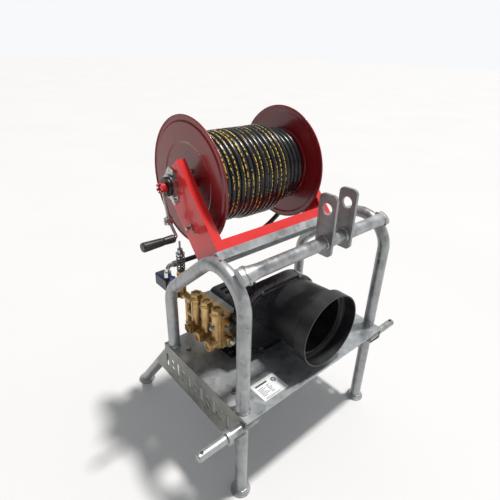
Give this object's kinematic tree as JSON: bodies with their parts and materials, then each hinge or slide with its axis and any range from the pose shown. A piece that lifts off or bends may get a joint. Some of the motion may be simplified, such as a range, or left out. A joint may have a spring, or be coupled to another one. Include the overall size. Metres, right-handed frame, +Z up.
{
  "type": "tractor-mounted high-pressure drain jetter",
  "caption": "Three-point-linkage drain jetter: tubular steel frame, shaft-driven plunger pump with gearbox and guard, and a hand-cranked reel of high-pressure hose.",
  "frame": {"origin": "middle of the footprint on the ground", "axes": "+X towards the tractor's left-hand side, -Y towards the tractor, +Z up; pieces named left are at -X, on the left of someone who stands by the tractor and faces the machine"},
  "size_m": [0.991, 0.7659, 1.211],
  "materials": {
    "galvanised": "satin",
    "red_paint": "gloss",
    "rubber_hose": "satin",
    "zinc_plated": "satin",
    "black_cast": "semi-gloss",
    "black_plastic": "matte",
    "brass": "satin",
    "grey_cast": "satin",
    "gear_steel": "machined",
    "ceramic": "polished",
    "dark_steel": "semi-gloss",
    "chrome": "polished",
    "blue_plastic": "gloss",
    "mixed_plastic": "matte",
    "dark_block": "semi-gloss",
    "label": "gloss"
  },
  "bodies": {
    "frame": {"bearing_bolts": "zinc_plated", "bearing_flanges": "zinc_plated", "bearing_inserts": "dark_steel", "brake_housing": "zinc_plated", "brass_fittings": "brass", "bright_fittings": "chrome", "cover_bolts": "zinc_plated", "crankcase": "black_cast", "crankcase_details": "black_cast", "crankcase_flange": "grey_cast", "crossbar": "galvanised", "feed_fittings": "zinc_plated", "feed_hose": "rubber_hose", "feet": "galvanised", "gearbox_case": "black_cast", "gearbox_cover": "black_cast", "guard_ring": "zinc_plated", "head_screws": "zinc_plated", "hitch_pin_left": "galvanised", "hitch_pin_right": "galvanised", "hoop_left": "galvanised", "hoop_right": "galvanised", "link_plates": "galvanised", "plastic_caps": "mixed_plastic", "platform": "galvanised", "platform_fasteners": "zinc_plated", "plungers": "ceramic", "pto_guard": "black_plastic", "pump_bracket": "black_cast", "pump_head": "brass", "rating_plate": "label", "rear_legs": "galvanised", "reel_channel": "galvanised", "reel_stand": "red_paint", "skirt_left": "galvanised", "skirt_right": "galvanised", "stand_bolts": "zinc_plated", "swivel": "brass", "unloader_spring": "dark_steel", "valve_block": "dark_block", "valve_caps": "brass", "weld_beads": "galvanised"},
    "reel": {"reel_shaft": "red_paint", "reel_drum": "red_paint", "disc_left": "red_paint", "disc_right": "red_paint", "disc_bolts": "zinc_plated", "hose_pack": "rubber_hose", "crank_rods": "zinc_plated", "crank_joint": "zinc_plated"},
    "grip": {"crank_grip": "black_plastic"},
    "brake": {"brake_plunger": "zinc_plated"},
    "input": {"input_shaft": "gear_steel", "input_gear": "gear_steel"},
    "crank": {"pump_crankshaft": "gear_steel", "pinion": "gear_steel"},
    "regulator_plate": {"spring_plate": "zinc_plated"},
    "regulator_nut": {"unloader_nut": "zinc_plated"},
    "valve": {"valve_knob": "blue_plastic"}
  },
  "joints": [
    {"name": "reel_spin", "type": "hinge", "parent": "frame", "child": "reel", "pos_m": [-0.0255, 0.046, 1.007], "axis": [1, 0, 0], "continuous": true},
    {"name": "grip_spin", "type": "hinge", "parent": "reel", "child": "grip", "pos_m": [-0.3755, -0.021, 0.867], "axis": [1, 0, 0], "continuous": true},
    {"name": "brake_slide", "type": "slide", "parent": "frame", "child": "brake", "axis": [1, 0, 0], "range_m": [0, 0.0111]},
    {"name": "pto_spin", "type": "hinge", "parent": "frame", "child": "input", "pos_m": [0.0335, -0.232, 0.552], "axis": [0, 1, 0], "continuous": true},
    {"name": "crank_spin", "type": "hinge", "parent": "frame", "child": "crank", "pos_m": [-0.0805, -0.167, 0.552], "axis": [0, 1, 0], "continuous": true},
    {"name": "plate_slide", "type": "slide", "parent": "frame", "child": "regulator_plate", "axis": [0, 0, -1], "range_m": [0, 0.006], "deforming": ["unloader_spring"]},
    {"name": "nut_turn", "type": "hinge", "parent": "regulator_plate", "child": "regulator_nut", "pos_m": [-0.2375, 0.105, 0.74], "axis": [0, 0, 1], "range_deg": [-1440, 0]},
    {"name": "valve_turn", "type": "hinge", "parent": "frame", "child": "valve", "pos_m": [-0.2375, 0.167, 0.6], "axis": [0, 0, 1], "range_deg": [0, 90]}
  ],
  "couplings": [
    {"joint": "crank_spin", "follows": "pto_spin", "ratio": -2.8}
  ]
}
